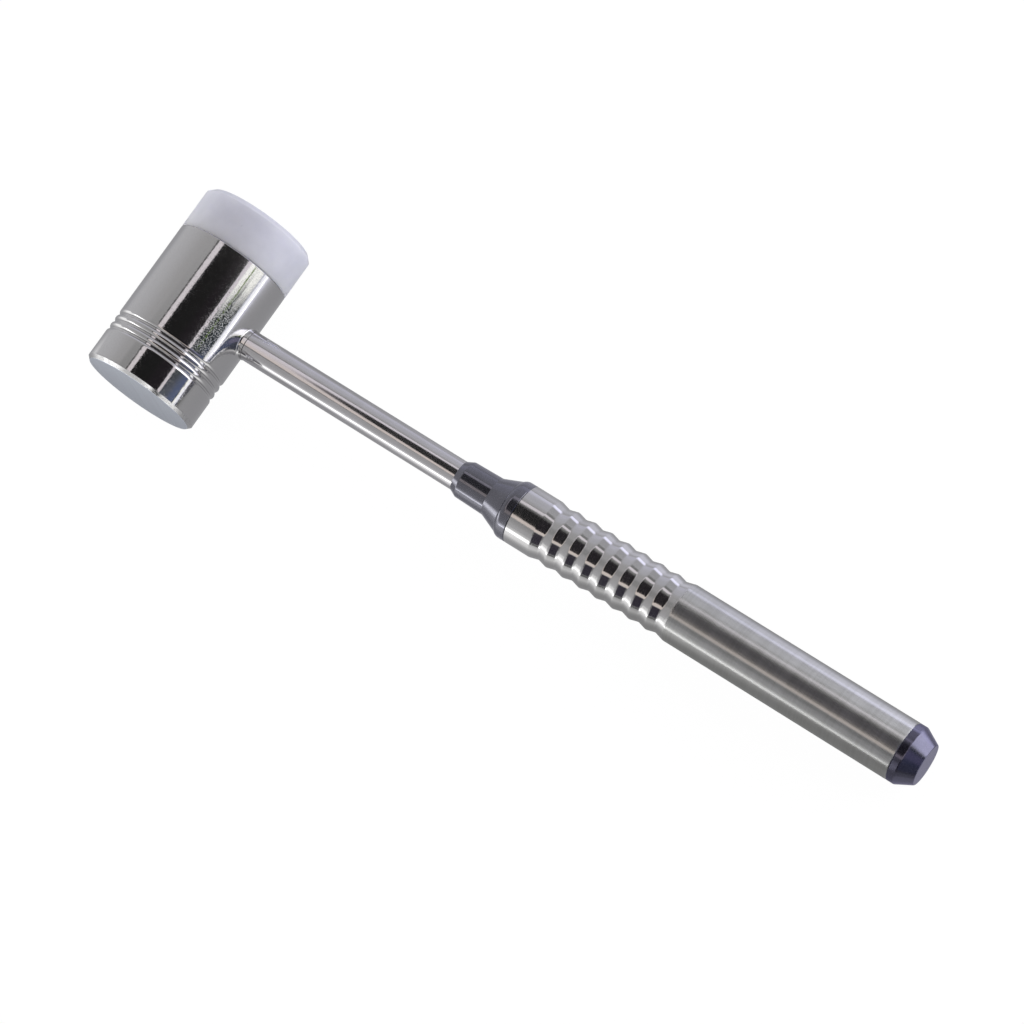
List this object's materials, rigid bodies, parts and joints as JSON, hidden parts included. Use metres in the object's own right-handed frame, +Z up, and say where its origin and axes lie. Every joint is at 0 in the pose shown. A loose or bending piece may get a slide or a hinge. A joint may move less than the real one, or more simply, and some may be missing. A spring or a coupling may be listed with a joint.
{
  "type": "bone mallet",
  "caption": "Small two-faced surgical mallet: ringed steel head with a replaceable nylon face, steel neck rod, and a hollow satin grip with shallow waves.",
  "frame": {"origin": "centre of the steel striking face", "axes": "+Y along the head from the steel face to the nylon face, +X along the handle from the head to its end, +Z up with the mallet lying on its side"},
  "size_m": [0.2071, 0.0474, 0.028],
  "materials": {
    "mirror_steel": "mirror polished stainless steel",
    "satin_steel": "satin, fine turning marks round the grip",
    "nylon": "turned natural nylon, softly matt",
    "ferrule_anodised": "slate blue anodised, smooth",
    "plug_anodised": "violet slate anodised, smooth",
    "fastener_steel": "plain stainless steel",
    "seal_rubber": "black silicone"
  },
  "bodies": {
    "mallet": {"head_body": "mirror_steel", "face_stud": "fastener_steel", "neck_rod": "mirror_steel", "front_ferrule": "ferrule_anodised", "ferrule_seal": "seal_rubber", "rod_washer": "fastener_steel", "rod_nut": "fastener_steel", "grip_tube": "satin_steel", "plug_seal": "seal_rubber", "end_plug": "plug_anodised"},
    "nylon_cap": {"nylon_face": "nylon"}
  },
  "joints": [
    {"name": "face_removal", "type": "slide", "parent": "mallet", "child": "nylon_cap", "axis": [0, 1, 0], "range_m": [0, 0.008]}
  ]
}
